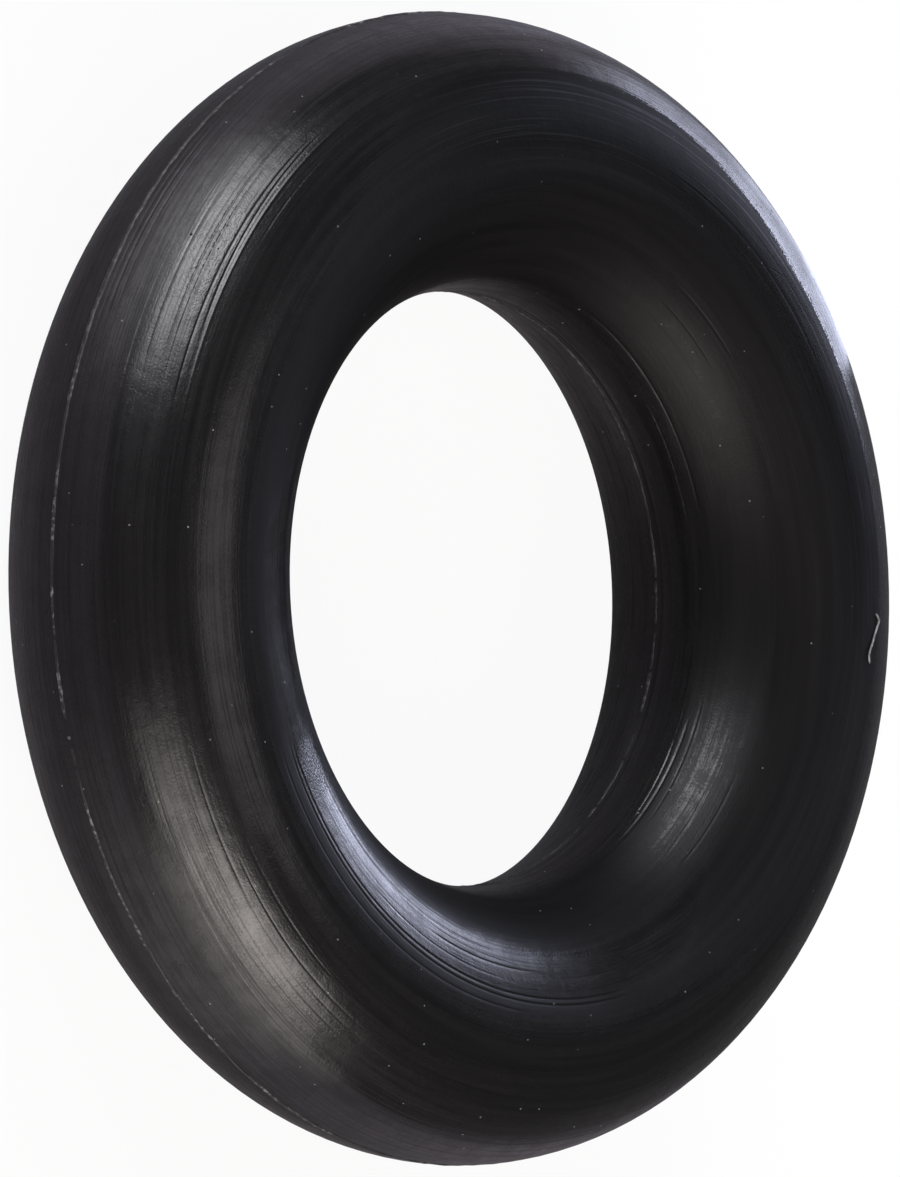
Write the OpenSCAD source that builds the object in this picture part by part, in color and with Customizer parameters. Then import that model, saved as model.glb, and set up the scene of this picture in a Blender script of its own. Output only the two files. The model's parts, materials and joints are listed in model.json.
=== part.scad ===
// Moulded rubber O-ring, lying flat on its side with its axis upright.
// The origin is the centre of the ring, on the plane where the two mould halves met.

/* [Ring] */
// Inside diameter, across the round section
bore_d = 7.52; // [3:0.01:40]
// Diameter of the round section
section_d = 3.53; // [1.5:0.01:7]

/* [Flash along the parting line] */
// How far the trimmed flash stands proud of the section round the outside
outer_flash_h = 0.03; // [0.01:0.005:0.1]
// How far the trimmed flash stands proud of the section inside the bore
inner_flash_h = 0.03; // [0.01:0.005:0.1]
// Width of the flash's cut edge, along the axis
flash_w = 0.05; // [0.03:0.01:0.15]
// Slope of the flash's two sides, in degrees from the parting plane
flash_slope = 20; // [0:1:45]
// How far the flash's root runs into the section, so that the two are one piece
root_depth = 0.1; // [0.05:0.01:0.3]

/* [Hidden] */
$fn = 180;
section_r = section_d / 2;
centreline_r = bore_d / 2 + section_r;

// Half-section of the flash: a low ridge with sloping sides and a cut edge parallel to the axis.
// It stands out of the section towards +X, with the section's centre at the origin.
module flash_ridge(flash_h) {
    edge_x = section_r + flash_h;
    root_x = section_r - root_depth;
    edge_half = flash_w / 2;
    root_half = edge_half + (edge_x - root_x) * tan(flash_slope);
    polygon([
        [root_x, -root_half],
        [edge_x, -edge_half],
        [edge_x, edge_half],
        [root_x, root_half]
    ]);
}

// Cross-section of the ring: the moulded round with flash on both sides of the parting plane.
module ring_section() {
    circle(r = section_r);
    flash_ridge(outer_flash_h);
    rotate(180) flash_ridge(inner_flash_h);
}

// The whole ring, one piece of rubber.
module o_ring() {
    color([0.10, 0.10, 0.11])
    rotate_extrude()
    translate([centreline_r, 0])
    ring_section();
}

o_ring();
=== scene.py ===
import json
import math

import bpy
import numpy as np
from mathutils import Matrix, Vector


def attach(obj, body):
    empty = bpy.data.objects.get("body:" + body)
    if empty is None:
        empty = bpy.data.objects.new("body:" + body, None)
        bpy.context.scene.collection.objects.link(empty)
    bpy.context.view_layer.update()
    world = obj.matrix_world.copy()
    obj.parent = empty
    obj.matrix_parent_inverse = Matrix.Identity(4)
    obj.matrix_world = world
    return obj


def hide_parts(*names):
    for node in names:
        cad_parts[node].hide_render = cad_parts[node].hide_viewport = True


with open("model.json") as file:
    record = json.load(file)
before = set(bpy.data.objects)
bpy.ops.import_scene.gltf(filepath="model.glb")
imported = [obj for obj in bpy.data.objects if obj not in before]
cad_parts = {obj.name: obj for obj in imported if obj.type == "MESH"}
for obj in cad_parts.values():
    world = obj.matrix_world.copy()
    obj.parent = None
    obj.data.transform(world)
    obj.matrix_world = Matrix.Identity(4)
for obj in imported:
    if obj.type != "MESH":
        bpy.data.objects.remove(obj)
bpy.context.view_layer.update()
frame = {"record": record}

# Sizes of the ring in metres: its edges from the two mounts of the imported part, and the flash on them
MM = 1e-3
MICRON = 1e-6
mounts = {mount["name"]: mount["dims"] for mount in frame["record"]["mounts"]}
OUTER_EDGE_R = mounts["outside"]["r_mm"] * MM
INNER_EDGE_R = mounts["bore"]["r_mm"] * MM
FLASH_H = 30 * MICRON
FLASH_W = 50 * MICRON
RING_R = (OUTER_EDGE_R + INNER_EDGE_R) / 2
SECTION_R = (OUTER_EDGE_R - INNER_EDGE_R) / 2 - FLASH_H
FLOOR_Z = -SECTION_R

# Angles in degrees: turn goes round the ring's axis from +X towards +Y, and clock goes round
# the section, 0 at the outside, 90 on top, 180 in the bore and -90 where the ring lies on the floor.
FULL_TURN = 360.0
HALF_TURN = 180.0

# The photograph's frame in pixels, and where the middle of the ring lands in it
PHOTO_W = 900
PHOTO_H = 1177
RING_CENTRE_PX = (452.28, 588.77)
PX_PER_RING_R = 437.2

# Camera: elevation above the floor and roll about its own axis in degrees, and its distance
CAMERA_ELEVATION = 43.41
CAMERA_ROLL = 2.665
CAMERA_DISTANCE = 90 * RING_R
SENSOR_MM = 36.0


def photo_camera():
    """The camera at the photograph's viewing angle, looking down on the ring as it lies."""
    elevation = math.radians(CAMERA_ELEVATION)
    roll = math.radians(CAMERA_ROLL)
    back = Vector((0, -math.cos(elevation), math.sin(elevation)))
    level = Vector((1, 0, 0))
    rising = Vector((0, math.sin(elevation), math.cos(elevation)))
    right = math.sin(roll) * level + math.cos(roll) * rising
    up = -math.cos(roll) * level + math.sin(roll) * rising
    metre_per_px = RING_R / PX_PER_RING_R
    aside = (RING_CENTRE_PX[0] - PHOTO_W / 2) * metre_per_px
    below = (RING_CENTRE_PX[1] - PHOTO_H / 2) * metre_per_px
    place = back * CAMERA_DISTANCE - right * aside + up * below
    lens = bpy.data.cameras.new("photo_camera")
    lens.sensor_width = SENSOR_MM
    lens.lens = SENSOR_MM * CAMERA_DISTANCE / (PHOTO_H * metre_per_px)
    camera = bpy.data.objects.new("photo_camera", lens)
    bpy.context.scene.collection.objects.link(camera)
    turned = Matrix((right, up, back)).transposed().to_4x4()
    camera.matrix_world = Matrix.Translation(place) @ turned
    bpy.context.scene.camera = camera


# Shapes

def joined(x, y, z):
    """Points or directions from their x, y and z, which may differ in shape."""
    return np.stack(np.broadcast_arrays(x, y, z), axis=-1)


def ring_place(turn, clock, lift=0.0):
    """Points that stand lift above the moulded round, at these turns and clock angles."""
    t, c = np.radians(turn), np.radians(clock)
    reach = SECTION_R + lift
    rho = RING_R + reach * np.cos(c)
    return joined(rho * np.cos(t), rho * np.sin(t), reach * np.sin(c))


def angle_gap(first, second):
    """The shortest way from the second angle to the first, in degrees."""
    return (first - second + HALF_TURN) % FULL_TURN - HALF_TURN


def smooth_step(x):
    """0 below 0, 1 above 1 and an S-shaped rise between."""
    x = np.clip(x, 0.0, 1.0)
    return x * x * (3 - 2 * x)


def along_stretch(turn, start, end, fade):
    """1 between two turns, with an S-shaped rise and fall of this length centred on its ends."""
    off = angle_gap(turn, (start + end) / 2)
    return smooth_step(((end - start) / 2 - np.abs(off)) / fade + 0.5)


def smooth_mesh(name, points, faces, normals=None):
    """A smooth-shaded mesh object from an array of points and a list of faces."""
    mesh = bpy.data.meshes.new(name)
    mesh.from_pydata(points.reshape(-1, 3).tolist(), [], faces)
    mesh.polygons.foreach_set("use_smooth", np.ones(len(mesh.polygons), dtype=bool))
    mesh.update()
    if normals is not None:
        mesh.normals_split_custom_set_from_vertices(normals.reshape(-1, 3).tolist())
    piece = bpy.data.objects.new(name, mesh)
    bpy.context.scene.collection.objects.link(piece)
    return piece


def band_faces(rows, columns, closed_rows):
    """Quads of a grid whose columns close on themselves, and its rows too when closed_rows is true."""
    last = rows if closed_rows else rows - 1
    faces = []
    for row in range(last):
        here = row * columns
        there = (row + 1) % rows * columns
        for column in range(columns):
            beside = (column + 1) % columns
            faces.append((here + column, there + column, there + beside, here + beside))
    return faces


# Finishes

class Wire:
    """One output of a node. Python's operators on it add Math nodes."""

    def __init__(self, finish, socket):
        self.finish = finish
        self.socket = socket

    def maths(self, operation, *values):
        """A Math node on these values."""
        sockets = dict(enumerate(values))
        return self.finish.node("ShaderNodeMath", {"operation": operation}, sockets)["Value"]

    def __add__(self, other):
        return self.maths("ADD", self, other)

    def __radd__(self, other):
        return self.maths("ADD", other, self)

    def __sub__(self, other):
        return self.maths("SUBTRACT", self, other)

    def __rsub__(self, other):
        return self.maths("SUBTRACT", other, self)

    def __mul__(self, other):
        return self.maths("MULTIPLY", self, other)

    def __rmul__(self, other):
        return self.maths("MULTIPLY", other, self)

    def __truediv__(self, other):
        return self.maths("DIVIDE", self, other)

    def __rtruediv__(self, other):
        return self.maths("DIVIDE", other, self)

    def __pow__(self, other):
        return self.maths("POWER", self, other)

    def __mod__(self, other):
        return self.maths("FLOORED_MODULO", self, other)

    def __abs__(self):
        return self.maths("ABSOLUTE", self)

    def angle_from(self, other):
        """The angle in degrees of the point that has self as its rise and other as its run."""
        return self.maths("ARCTAN2", self, other) * math.degrees(1.0)

    def between(self, low, high):
        """0 at low, 1 at high and an S-shaped rise between; low may be the larger."""
        settings = {"interpolation_type": "SMOOTHSTEP"}
        sockets = {"Value": self, "From Min": low, "From Max": high}
        return self.finish.node("ShaderNodeMapRange", settings, sockets)["Result"]

    def within(self, start, full, fading, end):
        """1 from full to fading, and 0 before start and after end."""
        return self.between(start, full) * self.between(end, fading)

    def clamped(self):
        """The value, held between 0 and 1."""
        return self.finish.node("ShaderNodeClamp", {}, {"Value": self})["Result"]


class Finish:
    """A node tree being filled. Every node comes from one method."""

    def __init__(self, tree):
        self.tree = tree
        self.tree.nodes.clear()

    def node(self, kind, settings, sockets):
        """Adds a node, sets its settings and then its sockets, and gives its outputs by name."""
        node = self.tree.nodes.new(kind)
        for name, value in settings.items():
            setattr(node, name, value)
        for name, value in sockets.items():
            if isinstance(value, Wire):
                self.tree.links.new(value.socket, node.inputs[name])
            else:
                node.inputs[name].default_value = value
        return {output.name: Wire(self, output) for output in node.outputs if output.enabled}

    def mix(self, factor, first, second):
        """A colour between two others. A Mix node's colour inputs are its seventh and eighth."""
        sockets = {0: factor, 6: first, 7: second}
        return self.node("ShaderNodeMix", {"data_type": "RGBA"}, sockets)["Result"]

    def place(self):
        """The point on the piece, in metres in the ring's frame."""
        return self.node("ShaderNodeTexCoord", {}, {})["Object"]

    def axes(self, place):
        """The x, y and z of a point."""
        parts = self.node("ShaderNodeSeparateXYZ", {}, {"Vector": place})
        return parts["X"], parts["Y"], parts["Z"]

    def noise(self, place, width, detail, roughness):
        """Cloudy noise in space with clouds of about this width, 0.5 on average."""
        sockets = {"Vector": place, "Scale": 1 / width, "Detail": detail, "Roughness": roughness}
        return self.node("ShaderNodeTexNoise", {}, sockets)["Fac"]

    def shader(self, sockets):
        """A Principled shader with these sockets."""
        return self.node("ShaderNodeBsdfPrincipled", {}, sockets)["BSDF"]

    def blend(self, factor, first, second):
        """A shader between two others."""
        return self.node("ShaderNodeMixShader", {}, {0: factor, 1: first, 2: second})["Shader"]

    def bump(self, microns):
        """The normal of a surface whose height is given in microns."""
        sockets = {"Strength": 1.0, "Distance": MICRON, "Height": microns}
        return self.node("ShaderNodeBump", {}, sockets)["Normal"]

    def surface(self, shader):
        """Ends a material in this shader."""
        self.node("ShaderNodeOutputMaterial", {}, {"Surface": shader})


def new_material(name):
    """An empty material, and the finish that fills it."""
    material = bpy.data.materials.new(name)
    material.use_nodes = True
    return material, Finish(material.node_tree)


# Black rubber of the skin

RUBBER_IOR = 1.55
DULL_IOR = 1.30
DULL_ROUGHNESS = 0.46
RUBBER_DARK = (0.0056, 0.0052, 0.0058, 1)
RUBBER_GREY = (0.0088, 0.0083, 0.0089, 1)
DUST = (0.24, 0.24, 0.25, 1)
# The black of painted shade, in the pits, along the crown and in the bore
PAINTED_SHADE_BLACK = (0.003, 0.003, 0.003, 1)

# Roughness of the glossy skin, and what broad streaks and dust add to it
SKIN_ROUGHNESS = 0.11
STREAK_ROUGHNESS = 0.17
DUST_ROUGHNESS = 0.3

# Patterns in the skin: their widths, the heights in microns that they add to it, and how often streaks change
# in a radian of turn
FINE_STREAK_W = 24 * MICRON
FINE_STREAK_H = 1.6
FINE_STREAK_CHANGES = 2.5
BROAD_STREAK_W = 110 * MICRON
BROAD_STREAK_H = 3.0
BROAD_STREAK_CHANGES = 2.0
GRAIN_W = 27 * MICRON
GRAIN_H = 1.9
MOTTLE_W = 300 * MICRON
MOTTLE_H = 5.0

# Dust: about how far apart specks may lie, their soft edge as shares of that, their height in microns, and
# the draws between 0 and 1 from which a place has a faint speck and a full one
SPECK_SPACING = 230 * MICRON
SPECK_EDGE = (0.065, 0.035)
SPECK_H = 1.5
SPECK_DRAW = (0.5, 0.65)

# Stretches of the skin: where each starts, is full, begins to fade and ends
BORE_CLOCKS = (117.0, 130.0, 152.0, 162.0)
POLISHED_TURNS = (24.0, 38.0, 60.0, 74.0)
FAR_TURNS = (60.0, 100.0, 180.0, 215.0)

# How dull the bore is, and how much of that its bright streaks lose where it is polished
BORE_DULLNESS = 0.93
BORE_POLISH = 0.35

# How dull wiping left the rest of the skin, in clouds and in streaks
WIPED_CLOUDS = 0.3
WIPED_STREAKS = 0.4

# The dull band along the crown: the clock angles where it starts and ends, and how far streaks and grain fray
# them. Over the turns of each move, its start moves by so many degrees and stays there. Over the wide turns
# it ends later. Its edge is the length of its rise, which is short on the far side. Clean streaks in it lose
# this share of its dullness.
CROWN_START = 86.0
CROWN_END = 100.0
STREAK_FRAY = 7.0
GRAIN_FRAY = 5.0
CROWN_START_MOVES = [(20.0, 50.0, -16.0), (125.0, 165.0, -13.0), (190.0, 230.0, 29.0)]
CROWN_FAR_MOVE = -2.0
CROWN_WIDE_TURNS = (20.0, 45.0, 240.0, 265.0)
CROWN_WIDE_MOVE = 26.0
CROWN_EDGE = 8.0
CROWN_FAR_EDGE = 0.6
CROWN_CLEAN_SHARE = 0.5

# Painted shade, as shares of black, that darkens the bore where it isn't polished, the crown, and more of the
# crown's far side, from none to all of that between two clock angles
BORE_SHADE = 0.3
CROWN_SHADE = 0.25
CROWN_FAR_SHADE = 0.4
CROWN_FAR_SHADE_CLOCKS = (98.0, 86.0)

# Crumbled patches: their turns and their clock angles, each as a stretch, and the crumbs' height in microns
CRUMBLED_PATCHES = [
    ((291.0, 294.0, 297.0, 302.0), (103.0, 107.0, 118.0, 122.0)),
    ((220.0, 228.0, 234.0, 240.0), (31.0, 37.0, 45.0, 49.0)),
]
CRUMB_H = 3.0

# Hairline scratches that cross the tool marks: turn and clock of both ends, half width in degrees, and the
# depth of them all in microns
SCRATCHES = [
    ((132.0, 81.5), (129.5, 77.5), 0.3),
    ((233.0, 38.0), (234.0, 33.5), 0.3),
]
SCRATCH_DEPTH = 2.0

# Pits in the skin, with painted shade in them: turn, clock and radius in microns, and the share of that
# radius that is painted black
PITS = [
    (152.0, 48.0, 14),
    (151.0, 49.5, 16),
    (137.5, 62.0, 14),
    (137.5, 65.5, 18),
    (136.5, 59.5, 14),
    (134.0, 51.0, 26),
    (134.5, 56.0, 16),
    (229.5, 29.5, 22),
    (227.0, 41.0, 14),
    (230.0, 42.5, 16),
]
PIT_CORE = 0.6


def streaks(finish, axes, rho, changes, width, detail):
    """Noise drawn out along the turns in streaks of this width, which are shorter for more changes."""
    x, y, z = axes
    sockets = {"X": x / rho * changes, "Y": y / rho * changes, "Z": (rho - RING_R) / width}
    drawn = finish.node("ShaderNodeCombineXYZ", {}, sockets)["Vector"]
    sockets = {"Vector": drawn, "W": z / width, "Scale": 1.0, "Detail": detail, "Roughness": 0.6}
    return finish.node("ShaderNodeTexNoise", {"noise_dimensions": "4D"}, sockets)["Fac"]


def near_segment(turn, clock, start, end, half_width):
    """1 on the line from start to end, falling to 0 at half_width from it."""
    along_turn, along_clock = end[0] - start[0], end[1] - start[1]
    length_squared = along_turn ** 2 + along_clock ** 2
    off_turn, off_clock = turn - start[0], clock - start[1]
    share = ((off_turn * along_turn + off_clock * along_clock) / length_squared).clamped()
    gap_turn, gap_clock = off_turn - share * along_turn, off_clock - share * along_clock
    return ((gap_turn * gap_turn + gap_clock * gap_clock) ** 0.5).between(half_width, 0.0)


def near_spot(finish, place, turn, clock, microns):
    """1 in the core of a round spot on the skin, falling to 0 at its edge."""
    middle = tuple(ring_place(turn, clock).tolist())
    gap = finish.node("ShaderNodeVectorMath", {"operation": "DISTANCE"}, {0: place, 1: middle})["Value"]
    return gap.between(microns * MICRON, PIT_CORE * microns * MICRON)


def dust_specks(finish, place):
    """1 on specks of dust, which lie on the skin by chance."""
    cells = finish.node("ShaderNodeTexVoronoi", {}, {"Vector": place, "Scale": 1 / SPECK_SPACING})
    draw = finish.node("ShaderNodeSeparateColor", {}, {"Color": cells["Color"]})["Red"]
    return cells["Distance"].between(*SPECK_EDGE) * draw.between(*SPECK_DRAW)


def dull_bore(clock, polished, fine_streaks, broad_streaks):
    """How dull the bore is: less so, in streaks, where it is polished."""
    bright = (0.5 * broad_streaks + 0.5 * fine_streaks).between(0.44, 0.58)
    return clock.within(*BORE_CLOCKS) * (BORE_DULLNESS - BORE_POLISH * polished * bright)


def dull_crown(turn, clock, far_side, fine_streaks, grain):
    """How dull the crown is: a frayed band along the top, which starts sharply on the far side."""
    frayed = clock + STREAK_FRAY * (fine_streaks - 0.5) + GRAIN_FRAY * (grain - 0.5)
    moves = sum(move * turn.between(first, last) for first, last, move in CROWN_START_MOVES)
    start = CROWN_START + CROWN_FAR_MOVE * far_side + moves
    end = CROWN_END + CROWN_WIDE_MOVE * turn.within(*CROWN_WIDE_TURNS)
    edge = CROWN_EDGE + (CROWN_FAR_EDGE - CROWN_EDGE) * far_side
    started = (frayed - start).between(-CROWN_FAR_EDGE, edge)
    ended = (frayed - end).between(CROWN_EDGE / 2, -CROWN_EDGE / 2)
    clean = fine_streaks.between(0.56, 0.66)
    return started * ended * (1.0 - CROWN_CLEAN_SHARE * clean)


def wiped_skin(fine_streaks, grain, mottle):
    """How dull wiping left the skin, in clouds and in streaks."""
    clouds = (0.5 * mottle + 0.5 * grain).between(0.4, 0.6)
    return WIPED_CLOUDS * clouds + WIPED_STREAKS * fine_streaks.between(0.5, 0.6)


def rubber_finish():
    """Satin black rubber: the mould's streaks, grain, dust, scratches, pits and a dull bore and crown, with
    painted shade in pits, crown and bore.
    """
    material, skin = new_material("black_rubber")
    place = skin.place()
    axes = skin.axes(place)
    x, y, z = axes
    rho = (x * x + y * y) ** 0.5
    turn = y.angle_from(x) % FULL_TURN
    clock = z.angle_from(rho - RING_R)
    far_side = turn.within(*FAR_TURNS)
    polished = turn.within(*POLISHED_TURNS)

    fine_streaks = streaks(skin, axes, rho, FINE_STREAK_CHANGES, FINE_STREAK_W, 2.0)
    broad_streaks = streaks(skin, axes, rho, BROAD_STREAK_CHANGES, BROAD_STREAK_W, 1.0)
    grain = skin.noise(place, GRAIN_W, 1.0, 0.6)
    mottle = skin.noise(place, MOTTLE_W, 2.0, 0.55)
    dust = dust_specks(skin, place)
    scratch = sum(near_segment(turn, clock, *line) for line in SCRATCHES).clamped()
    pit_shade = sum(near_spot(skin, place, *pit) for pit in PITS)
    crumbled = sum(turn.within(*turns) * clock.within(*clocks) for turns, clocks in CRUMBLED_PATCHES)

    rubber = skin.mix(broad_streaks.between(0.3, 0.7), RUBBER_DARK, RUBBER_GREY)
    colour = skin.mix(dust, rubber, DUST)
    roughness = SKIN_ROUGHNESS + STREAK_ROUGHNESS * broad_streaks + DUST_ROUGHNESS * dust
    drawn = FINE_STREAK_H * fine_streaks + BROAD_STREAK_H * broad_streaks
    cloudy = GRAIN_H * grain + MOTTLE_H * mottle
    height = drawn + cloudy + SPECK_H * dust + CRUMB_H * crumbled * grain - SCRATCH_DEPTH * scratch
    normal = skin.bump(height)
    glossy = {"Base Color": colour, "Roughness": roughness, "IOR": RUBBER_IOR, "Normal": normal}
    dull = {"Base Color": colour, "Roughness": DULL_ROUGHNESS, "IOR": DULL_IOR, "Normal": normal}
    # A glossless black shader for painted shade
    black = {"Base Color": PAINTED_SHADE_BLACK, "Roughness": 1.0, "IOR": 1.0}

    bore = dull_bore(clock, polished, fine_streaks, broad_streaks)
    crown = dull_crown(turn, clock, far_side, fine_streaks, grain)
    wiped = wiped_skin(fine_streaks, grain, mottle)
    rubbed = skin.blend((bore + crown + wiped).clamped(), skin.shader(glossy), skin.shader(dull))
    # Painted shade: black blended over the pits, the crown, more of the crown's far side and the bore where
    # it isn't polished
    far_shade = CROWN_FAR_SHADE * far_side * clock.between(*CROWN_FAR_SHADE_CLOCKS)
    crown_shade = crown * (CROWN_SHADE + far_shade)
    bore_shade = BORE_SHADE * bore * (1.0 - polished)
    shade = (pit_shade + crown_shade + bore_shade).clamped()
    skin.surface(skin.blend(shade, rubbed, skin.shader(black)))
    return material


# Finishes of the flash and the lint

FLASH_DARK = (0.012, 0.0115, 0.012, 1)
OUTER_FLASH_PALE = (0.19, 0.19, 0.2, 1)
INNER_FLASH_PALE = (0.08, 0.08, 0.085, 1)
FLASH_DASH_W = 70 * MICRON
FLASH_CLUMP_W = 800 * MICRON
FLASH_CRUMB_W = 14 * MICRON
FLASH_CRUMB_H = 3.0
FLASH_ROUGHNESS = 0.38
FLASH_CRUMB_ROUGHNESS = 0.3
LINT_GREY = (0.16, 0.16, 0.165, 1)
LINT_PALE = (0.42, 0.42, 0.43, 1)
LINT_ROUGHNESS = 0.6
LINT_TWIST_W = 60 * MICRON

# The turns between which the flash was trimmed least, and the length of the change at each of them. Between
# them it gains these shares of its height and half width, and loses this share of its pale colour.
THICK_FLASH = (204.0, 247.0)
THICK_FADE = 10.0
THICK_RISE = 0.35
THICK_WIDENING = 0.5
THICK_DULLNESS = 0.7


def flash_finish(name, pale):
    """The torn, trimmed flash: in short pale dashes, and dull where it is thick."""
    material, torn = new_material(name)
    place = torn.place()
    x, y, _ = torn.axes(place)
    turn = y.angle_from(x) % FULL_TURN
    start, end = THICK_FLASH
    half = THICK_FADE / 2
    thick = turn.within(start - half, start + half, end - half, end + half)
    dashes = torn.noise(place, FLASH_DASH_W, 2.0, 0.6).between(0.48, 0.66)
    clumps = torn.noise(place, FLASH_CLUMP_W, 1.0, 0.5).between(0.4, 0.56)
    crumbs = torn.noise(place, FLASH_CRUMB_W, 2.0, 0.7)
    shown = dashes * (clumps + thick).clamped() * (1.0 - THICK_DULLNESS * thick)
    colour = torn.mix(shown, FLASH_DARK, pale)
    roughness = FLASH_ROUGHNESS + FLASH_CRUMB_ROUGHNESS * crumbs
    normal = torn.bump(FLASH_CRUMB_H * crumbs)
    sockets = {"Base Color": colour, "Roughness": roughness, "IOR": RUBBER_IOR, "Normal": normal}
    torn.surface(torn.shader(sockets))
    return material


def lint_finish():
    """A grey textile fibre, paler where it is twisted."""
    material, fibre = new_material("grey_lint")
    twists = fibre.noise(fibre.place(), LINT_TWIST_W, 2.0, 0.5)
    colour = fibre.mix(twists.between(0.4, 0.7), LINT_GREY, LINT_PALE)
    fibre.surface(fibre.shader({"Base Color": colour, "Roughness": LINT_ROUGHNESS}))
    return material


# Moulded skin of the ring

# Tool marks of the mould, which run round the ring. Each has its clock angle, the turns where it starts and
# ends, its depth in microns (a ridge where it is negative), its half width in degrees, and the degrees that
# its clock angle drifts from start to end.
TOOL_MARKS = [
    (56.0, 212, 226, 2.0, 0.45, 0.0),
    (51.1, 207, 247, -6.5, 0.45, 0.4),
    (48.8, 212, 238, 4.5, 0.4, 1.6),
    (46.5, 214, 247, 4.5, 0.4, 0.0),
    (40.5, 217, 246, 3.5, 0.45, 0.0),
    (38.0, 209, 244, 4.0, 0.5, 0.0),
    (30.5, 225, 243, 3.0, 0.45, 0.0),
    (24.0, 198, 214, 3.0, 0.45, 0.0),
    (24.0, 228, 248, 1.5, 0.5, 0.0),
    (11.0, 205, 240, 3.0, 0.45, 0.0),
    (7.5, 205, 240, 4.0, 0.45, 0.0),
    (76.0, 284, 296, 2.0, 0.45, 0.0),
    (73.0, 286, 302, 2.0, 0.45, 0.0),
    (62.0, 296, 318, 2.0, 0.45, 0.0),
    (56.0, 300, 326, 2.0, 0.45, 0.0),
    (52.0, 288, 303, 3.0, 0.45, 0.0),
    (52.0, 318, 327, 3.0, 0.45, 0.0),
    (47.5, 310, 325, 2.5, 0.45, 0.0),
    (46.5, 291, 306, 2.5, 0.45, 0.5),
    (44.5, 288, 302, 2.5, 0.45, 0.0),
    (38.0, 284, 306, 1.5, 0.45, 0.5),
    (33.0, 296, 320, 1.5, 0.45, 0.0),
    (83.5, 118, 152, 1.5, 0.5, 0.5),
    (76.5, 112, 139, 1.5, 0.4, 0.5),
    (93.0, 292, 350, 3.0, 0.5, 0.0),
    (98.0, 292, 370, 8.0, 0.55, -3.0),
    (100.5, 292, 370, 8.0, 0.55, -3.0),
    (106.0, 318, 345, 2.5, 0.4, -1.0),
    (111.0, 332, 352, 4.0, 0.45, 0.0),
    (114.0, 322, 348, 2.5, 0.4, -1.0),
    (117.0, 300, 345, 4.0, 0.45, 0.0),
    (120.0, 128, 142, 3.0, 0.45, 0.0),
    (129.0, 128, 142, 3.0, 0.5, 0.0),
    (137.0, 125, 148, 3.0, 0.5, 0.0),
    (155.0, 104, 150, 4.0, 0.5, 0.0),
    (161.0, 100, 125, 3.0, 0.45, 0.0),
    (129.0, 36, 54, 3.0, 0.5, 0.0),
    (137.0, 34, 50, 3.0, 0.5, 1.0),
    (141.5, 44, 60, 2.0, 0.4, 0.5),
    (152.0, 42, 66, 3.0, 0.5, 0.5),
    (156.0, 34, 61, 6.0, 0.55, -0.5),
    (158.5, 39, 57, 4.0, 0.45, 0.5),
    (161.5, 30, 50, 2.5, 0.45, 0.0),
    (4.5, 0, 360, 3.5, 0.7, 0.0),
    (176.0, 0, 360, 5.0, 0.7, 0.0),
]

# The length in degrees over which each end of a mark fades
MARK_END = 5.0

# A shallow hollow along the bore's near edge, in the terms of a tool mark
HOLLOW = (103.0, 288, 372, 40.0, 14.0, 0.0)

# Faint marks placed by chance: how many, and the least and most of their half length in degrees, their depth
# in microns and their half width in degrees
FAINT_MARKS = 60
FAINT_SEED = 11
FAINT_HALF_LENGTH = (8, 35)
FAINT_DEPTH = (0.3, 1.2)
FAINT_HALF_WIDTH = (0.45, 0.9)

# Mesh of the skin: sections round the ring, and rows round each section. Rows lie closer across a mark: so
# many more for each one between marks, where it has its full depth in microns or more, out to about so many
# half widths, and never more than the most. They are counted off along so many samples of the clock.
SKIN_TURNS = 160
SKIN_CLOCKS = 620
MARK_ROWS = 4.0
FULL_DEPTH = 2.0
MOST_ROWS = 6.0
MARK_REACH = 2.2
CLOCK_SAMPLES = 7201

# The step in degrees over which the slopes of the skin are measured
SLOPE_STEP = 0.02


def faint_marks(rng):
    """Shallow marks all round the section, placed by chance."""
    marks = []
    for _ in range(FAINT_MARKS):
        middle = rng.uniform(0, FULL_TURN)
        half_length = rng.uniform(*FAINT_HALF_LENGTH)
        clock = rng.uniform(-HALF_TURN, HALF_TURN)
        depth = rng.uniform(*FAINT_DEPTH)
        half_width = rng.uniform(*FAINT_HALF_WIDTH)
        marks.append((clock, middle - half_length, middle + half_length, depth, half_width, 0.0))
    return marks


def skin_height(marks, turn, clock):
    """How far the skin stands above the moulded round, in metres, at these turns and clock angles."""
    height = np.zeros(np.broadcast(turn, clock).shape)
    for mark_clock, start, end, depth, half_width, drift in marks:
        length = end - start
        inside = 1.0
        if length < FULL_TURN:
            inside = along_stretch(turn, start, end, max(MARK_END, half_width))
        off = angle_gap(turn, (start + end) / 2)
        across = angle_gap(clock, mark_clock + drift * off / length) / half_width
        height -= depth * MICRON * inside * np.exp(-across ** 2)
    return height


def skin_normals(marks, turn, clock):
    """Normals of the skin, worked out from the slopes of its marks."""
    t, c = np.radians(turn), np.radians(clock)
    span = 2 * math.radians(SLOPE_STEP)
    rise_turn = skin_height(marks, turn + SLOPE_STEP, clock) - skin_height(marks, turn - SLOPE_STEP, clock)
    rise_clock = skin_height(marks, turn, clock + SLOPE_STEP) - skin_height(marks, turn, clock - SLOPE_STEP)
    slope_turn = (rise_turn / (span * (RING_R + SECTION_R * np.cos(c))))[..., None]
    slope_clock = (rise_clock / (span * SECTION_R))[..., None]
    outward = joined(np.cos(c) * np.cos(t), np.cos(c) * np.sin(t), np.sin(c))
    along_turn = joined(-np.sin(t), np.cos(t), 0 * c)
    along_clock = joined(-np.sin(c) * np.cos(t), -np.sin(c) * np.sin(t), np.cos(c))
    normals = outward - slope_turn * along_turn - slope_clock * along_clock
    return normals / np.linalg.norm(normals, axis=-1, keepdims=True)


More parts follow.
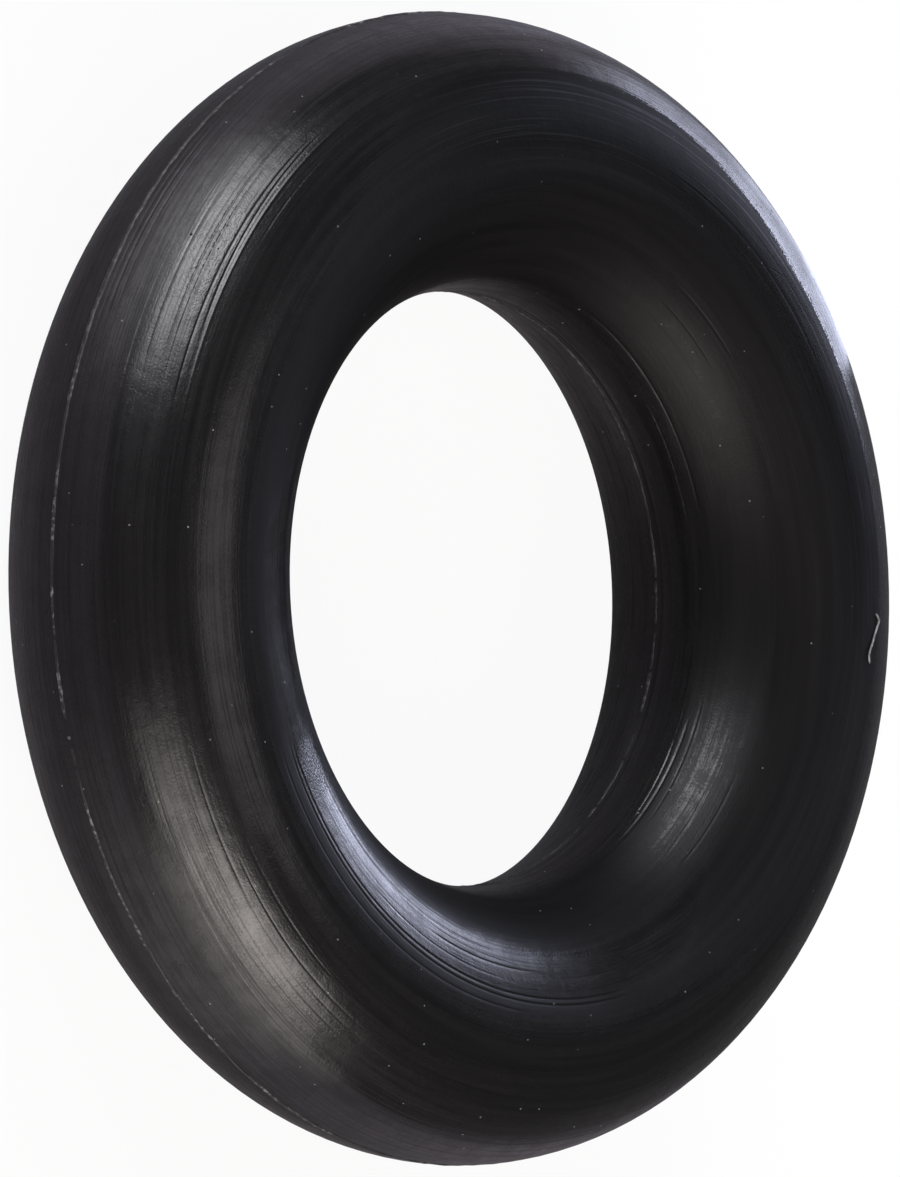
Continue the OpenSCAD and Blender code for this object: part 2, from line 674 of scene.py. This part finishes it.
def row_clocks(marks):
    """Clock angles of the skin's rows: close together across each mark, wider apart between marks."""
    fine = np.linspace(-HALF_TURN, HALF_TURN, CLOCK_SAMPLES)
    density = np.ones_like(fine)
    for mark_clock, _, _, depth, half_width, drift in marks:
        reach = MARK_REACH * half_width + abs(drift) / 2
        share = min(abs(depth), FULL_DEPTH) / FULL_DEPTH
        density += MARK_ROWS * share * np.exp(-(angle_gap(fine, mark_clock) / reach) ** 2)
    density = np.minimum(density, MOST_ROWS)
    passed = np.concatenate([[0], np.cumsum((density[1:] + density[:-1]) / 2)])
    return np.interp(np.arange(SKIN_CLOCKS) / SKIN_CLOCKS * passed[-1], passed, fine)


def moulded_skin(finish):
    """The ring's round skin with its tool marks and hollow pressed in."""
    fine_marks = TOOL_MARKS + faint_marks(np.random.default_rng(FAINT_SEED))
    marks = fine_marks + [HOLLOW]
    turn = np.arange(SKIN_TURNS)[:, None] * FULL_TURN / SKIN_TURNS
    clock = row_clocks(fine_marks)[None, :]
    points = ring_place(turn, clock, skin_height(marks, turn, clock))
    faces = band_faces(SKIN_TURNS, SKIN_CLOCKS, closed_rows=True)
    skin = smooth_mesh("moulded_skin", points, faces, skin_normals(marks, turn, clock))
    skin.data.materials.append(finish)
    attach(skin, "root")
    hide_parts("o_ring")


# Flash along the parting line

FLASH_STEPS = 1440
FLASH_TURNS = np.arange(FLASH_STEPS) * FULL_TURN / FLASH_STEPS
OUTER_SEED = 21
INNER_SEED = 22

# What the trimming took, as a share of the flash's height, on the outside and in the bore
OUTER_TRIM = 0.42
INNER_TRIM = 0.55

# How ragged the flash is in height, in width and along its way: each waviness, in degrees, and its share
RAGGED_HEIGHT = [(1.0, 0.35), (3.0, 0.5), (15.0, 0.6)]
RAGGED_WIDTH = [(0.75, 0.5), (6.0, 0.5)]
RAGGED_WAY = [(1.5, 0.4), (12.0, 0.6)]

# The flash's least half width and what its raggedness adds, as shares of the full one, how far it wanders
# from the parting plane, and the share of that which lies below the plane
LEAST_WIDTH = 0.4
ADDED_WIDTH = 0.9
FLASH_WANDER = 14 * MICRON
WANDER_BELOW = 0.1

# Section of the flash: places across it in half widths, and levels as shares of its height above the skin or,
# where they are negative, of the depth that it is sunk in the skin
FLASH_SECTION = [
    (-1.4, -1.0),
    (-0.9, 0.55),
    (-0.3, 0.95),
    (0.35, 1.0),
    (0.9, 0.6),
    (1.4, -1.0),
    (0.6, -2.0),
    (-0.6, -2.0),
]
FLASH_SUNK = 8 * MICRON

# The lowest that the flash is cut, as a share of its height: a little below the skin
LOWEST_CUT = -0.15


def ragged(rng, spans):
    """A ragged line round the ring: spans gives each waviness, in degrees, and its share."""
    line = np.zeros(FLASH_STEPS)
    for span, share in spans:
        knots = int(FULL_TURN / span)
        values = rng.uniform(0, 1, knots)
        line += share * np.interp(FLASH_TURNS, np.arange(knots) * span, values, period=FULL_TURN)
    return line


def flash_ribbon(name, bore_side, finish, seed, trimmed):
    """What the trimming left of the flash: a low ragged rib that sits in the skin, outside or in the bore."""
    rng = np.random.default_rng(seed)
    thick = along_stretch(FLASH_TURNS, *THICK_FLASH, THICK_FADE)
    proud = ragged(rng, RAGGED_HEIGHT) - trimmed + THICK_RISE * thick
    height = FLASH_H * np.clip(proud, LOWEST_CUT, 1.0)
    width_share = LEAST_WIDTH + ADDED_WIDTH * ragged(rng, RAGGED_WIDTH) + THICK_WIDENING * thick
    half_width = FLASH_W / 2 * width_share
    wander = FLASH_WANDER * (ragged(rng, RAGGED_WAY) - WANDER_BELOW)
    turn = np.radians(FLASH_TURNS)
    columns = []
    for across, level in FLASH_SECTION:
        rise = wander + across * half_width
        out = np.minimum(level * (height if level > 0 else FLASH_SUNK), height)
        reach = np.sqrt(SECTION_R ** 2 - rise ** 2) + out
        rho = RING_R - reach if bore_side else RING_R + reach
        columns.append(joined(rho * np.cos(turn), rho * np.sin(turn), rise))
    faces = band_faces(FLASH_STEPS, len(FLASH_SECTION), closed_rows=True)
    if bore_side:
        faces = [face[::-1] for face in faces]
    ribbon = smooth_mesh(name, np.stack(columns, axis=1), faces)
    ribbon.data.materials.append(finish)
    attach(ribbon, "root")


# Lint fibre that clings to the top of the ring: turn, clock and lift in microns along it
LINT_ROUTE = [
    (84.6, 73.2, 12),
    (84.3, 71.8, 20),
    (83.8, 70.6, 26),
    (82.8, 72.6, 20),
    (81.9, 74.0, 14),
    (81.0, 75.6, 22),
    (80.0, 77.2, 20),
    (79.3, 77.6, 16),
    (78.4, 76.2, 12),
]

# The fibre's radius, the sides and rings of its mesh, and the passes that round off its route
LINT_R = 13 * MICRON
LINT_SIDES = 8
LINT_RINGS = 48
LINT_ROUNDING = 3

# The fibre's ends taper over this part of the way between two points of its route, to this share of its area
LINT_TAPER = 0.25
LINT_TIP = 0.08


def lint_fibre(finish):
    """A short crooked fibre lying on the skin, closed at both ends."""
    route = np.array(LINT_ROUTE)
    knots = np.arange(len(route))
    share = np.linspace(0, len(route) - 1, LINT_RINGS)
    soft = np.stack([np.interp(share, knots, column) for column in route.T], axis=-1)
    for _ in range(LINT_ROUNDING):
        soft[1:-1] = (soft[:-2] + 2 * soft[1:-1] + soft[2:]) / 4
    path = ring_place(soft[:, 0], soft[:, 1], soft[:, 2] * MICRON)
    ahead = np.gradient(path, axis=0)
    ahead /= np.linalg.norm(ahead, axis=-1, keepdims=True)
    side = np.cross(ahead, np.array([0.0, 0.0, 1.0]))
    side /= np.linalg.norm(side, axis=-1, keepdims=True)
    over = np.cross(side, ahead)
    angle = np.arange(LINT_SIDES) * 2 * math.pi / LINT_SIDES
    from_end = np.minimum(share, share[::-1])
    thick = LINT_R * np.sqrt(np.clip(from_end / LINT_TAPER, LINT_TIP, 1.0))[:, None, None]
    ring = np.cos(angle)[:, None] * side[:, None, :] + np.sin(angle)[:, None] * over[:, None, :]
    points = path[:, None, :] + thick * ring
    faces = band_faces(LINT_RINGS, LINT_SIDES, closed_rows=False)
    last = (LINT_RINGS - 1) * LINT_SIDES
    faces.append(tuple(range(LINT_SIDES)))
    faces.append(tuple(last + LINT_SIDES - 1 - k for k in range(LINT_SIDES)))
    fibre = smooth_mesh("lint_fibre", points, faces)
    fibre.data.materials.append(finish)
    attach(fibre, "root")


# Floor, lamps and surroundings

WHITE = (1, 1, 1, 1)
FLOOR_SIZE = 4.0
FLOOR_PALE = (0.82, 0.82, 0.82, 1)
# Painted shade on the floor, for what mirrors it: dark grey in front of the ring and all round, paler beside
# it, darkest behind it
FLOOR_SHADE_FRONT = (0.25, 0.235, 0.26, 1)
FLOOR_SHADE_SIDES = (0.5, 0.46, 0.54, 1)
FLOOR_SHADE_BEHIND = (0.06, 0.06, 0.06, 1)
FLOOR_IOR = 1.5
FLOOR_ROUGHNESS = 0.25
FLOOR_BEHIND_ROUGHNESS = 0.75

# The share of plain white in the floor as the camera sees it, and as the ring mirrors it
FLOOR_WHITE_SEEN = 0.93
FLOOR_WHITE_MIRRORED = 0.035

# Where the floor's painted shade changes, as start and end of each change, measured from the ring's axis
FLOOR_SIDES_X = (3 * MM, 8 * MM)
FLOOR_SIDES_RHO = (8 * MM, 11 * MM)
FLOOR_BEYOND_Y = (3 * MM, 9 * MM)
FLOOR_BEHIND_X = (-14 * MM, -9 * MM)

# Light of the room, the softboxes' distance, the gap between the panels of one, and the colours of the lamps
DIM_ROOM = 0.07
LAMP_DISTANCE = 0.4
PANEL_GAP = 4 * MM
NEUTRAL = (1.0, 0.995, 1.04)
WARM = (1.06, 0.99, 0.95)
DAYLIGHT = (0.91, 0.96, 1.23)

# Watts for each square metre of a panel lamp that has a radiance of 1
WATTS_PER_RADIANCE = 4.0

# Softboxes as upright panels. Azimuth is 0 along +Y and 90 along +X. Each faces the ring from its azimuth, is
# tilted in its own plane, and fades from an inner to an outer edge, which are its left, right, bottom and top
# as angles from there. The number of steps in which it fades, the radiance and the colour come last.
SOFTBOXES = [
    ("near_softbox", 250, 18, (-4, 5, 19, 34), (-30, 27, -2, 38), 4, 7.8, NEUTRAL),
    ("near_glow", 250, 18, (-22, 20, 37, 44), (-22, 20, 37, 44), 1, 1.2, NEUTRAL),
    ("warm_softbox", 105, -14, (-6, 4, 32, 43), (-25, 57, 12, 60), 5, 5.2, WARM),
    ("warm_glow", 105, -8, (-22, 32, -2, 12), (-22, 32, -2, 12), 1, 1.3, WARM),
    ("window", 345, 0, (-1, 7.6, 5, 13), (-20, 8.4, 1, 33), 3, 5.5, DAYLIGHT),
]

# Small cards that stand on the floor just behind the ring: how far off and how high, and for each its edges
# along X and its radiance
CARD_DISTANCE = 9.5 * MM
CARD_TOP = 2.2 * MM
CARDS = [
    ("rim_card_start", (-4.4 * MM, -2.95 * MM), 1.75),
    ("rim_card", (-6.6 * MM, -4.4 * MM), 1.25),
    ("rim_card_end", (-10.2 * MM, -6.6 * MM), 0.68),
]

# A dim panel overhead, which leaves a faint band along the top of the ring
CEILING_PLACE = (0.01, 0.075, 0.4)
CEILING_SIZE = (0.24, 0.23)
CEILING_RADIANCE = 0.65
CEILING_COLOUR = (1.0, 0.95, 0.98)


def panel_lamp(name, size, radiance, colour):
    """A rectangular area lamp that the camera doesn't see."""
    lamp = bpy.data.lights.new(name, "AREA")
    lamp.shape = "RECTANGLE"
    lamp.size = size[0]
    lamp.size_y = size[1]
    lamp.energy = WATTS_PER_RADIANCE * radiance * size[0] * size[1]
    lamp.color = colour
    panel = bpy.data.objects.new(name, lamp)
    bpy.context.scene.collection.objects.link(panel)
    panel.visible_camera = False
    return panel


def upright_panel(name, azimuth, tilt, distance, edges, radiance, colour):
    """A lamp that stands upright at this distance from the ring's axis and faces it."""
    a = math.radians(azimuth)
    outward = Vector((math.sin(a), math.cos(a), 0))
    sideways = Vector((math.cos(a), -math.sin(a), 0))
    left, right, bottom, top = edges
    panel = panel_lamp(name, (right - left, top - bottom), radiance, colour)
    place = outward * distance + sideways * (left + right) / 2 + Vector((0, 0, (bottom + top) / 2))
    turned = Matrix((-sideways, Vector((0, 0, 1)), outward)).transposed().to_4x4()
    panel.matrix_world = Matrix.Translation(place) @ turned @ Matrix.Rotation(math.radians(tilt), 4, "Z")


def softbox(name, azimuth, tilt, inner, outer, steps, radiance, colour):
    """A softbox that fades at its edges, as panels that lie one behind the other."""
    for step in range(steps):
        share = (step + 0.5) / steps
        distance = LAMP_DISTANCE + step * PANEL_GAP
        angles = [near + (far - near) * share for near, far in zip(inner, outer)]
        edges = [distance * math.tan(math.radians(angle)) for angle in angles]
        upright_panel(name, azimuth, tilt, distance, edges, radiance / steps, colour)


def ceiling_glow():
    """The dim panel overhead, which faces down."""
    panel = panel_lamp("ceiling_glow", CEILING_SIZE, CEILING_RADIANCE, CEILING_COLOUR)
    panel.location = CEILING_PLACE


def floor_finish():
    """Pale paper, white to the camera but for a part of the ring's shadow, and to what mirrors it a painted
    shade: dark grey, paler beside the ring and darkest behind it.
    """
    material, paper = new_material("pale_floor")
    path = paper.node("ShaderNodeLightPath", {}, {})
    seen = path["Is Camera Ray"]
    mirrored = path["Is Glossy Ray"] + path["Is Transmission Ray"]
    x, y, _ = paper.axes(paper.place())
    rho = (x * x + y * y) ** 0.5
    beside = abs(x).between(*FLOOR_SIDES_X) * rho.between(*FLOOR_SIDES_RHO)
    beyond = y.between(*FLOOR_BEYOND_Y)
    behind = beyond * x.between(*FLOOR_BEHIND_X)
    # Painted shade of the floor as the ring mirrors it
    grey = paper.mix(behind, paper.mix(beside, FLOOR_SHADE_FRONT, FLOOR_SHADE_SIDES), FLOOR_SHADE_BEHIND)
    roughness = FLOOR_ROUGHNESS + (FLOOR_BEHIND_ROUGHNESS - FLOOR_ROUGHNESS) * behind
    satin = paper.shader({"Base Color": grey, "Roughness": roughness, "IOR": FLOOR_IOR})
    matt = paper.node("ShaderNodeBsdfDiffuse", {}, {"Color": FLOOR_PALE})["BSDF"]
    white = paper.node("ShaderNodeEmission", {}, {"Color": WHITE, "Strength": 1.0})["Emission"]
    white_seen = FLOOR_WHITE_SEEN + (1 - FLOOR_WHITE_SEEN) * beyond
    white_share = seen * white_seen + mirrored * FLOOR_WHITE_MIRRORED
    paper.surface(paper.blend(white_share, paper.blend(seen, satin, matt), white))
    return material


def pale_floor(finish):
    """A plain square floor under the ring."""
    half = FLOOR_SIZE / 2
    sides = [(-half, -half), (half, -half), (half, half), (-half, half)]
    corners = np.array([(x, y, FLOOR_Z) for x, y in sides])
    floor = smooth_mesh("pale_floor", corners, [(0, 1, 2, 3)])
    floor.data.materials.append(finish)


def dim_room():
    """Dim even light from all round, which the camera sees as white."""
    world = bpy.data.worlds.new("dim_room")
    world.use_nodes = True
    room = Finish(world.node_tree)
    seen = room.node("ShaderNodeLightPath", {}, {})["Is Camera Ray"]
    sockets = {"Color": WHITE, "Strength": DIM_ROOM + seen * (1 - DIM_ROOM)}
    light = room.node("ShaderNodeBackground", {}, sockets)["Background"]
    room.node("ShaderNodeOutputWorld", {}, {"Surface": light})
    bpy.context.scene.world = world


# The scene

photo_camera()
moulded_skin(rubber_finish())
flash_ribbon("outer_flash", False, flash_finish("outer_flash", OUTER_FLASH_PALE), OUTER_SEED, OUTER_TRIM)
flash_ribbon("inner_flash", True, flash_finish("inner_flash", INNER_FLASH_PALE), INNER_SEED, INNER_TRIM)
lint_fibre(lint_finish())
pale_floor(floor_finish())
for box in SOFTBOXES:
    softbox(*box)
for name, (left, right), radiance in CARDS:
    upright_panel(name, 0, 0, CARD_DISTANCE, (left, right, FLOOR_Z, CARD_TOP), radiance, DAYLIGHT)
ceiling_glow()
dim_room()
bpy.context.scene.view_settings.view_transform = "Standard"

bpy.context.view_layer.update()
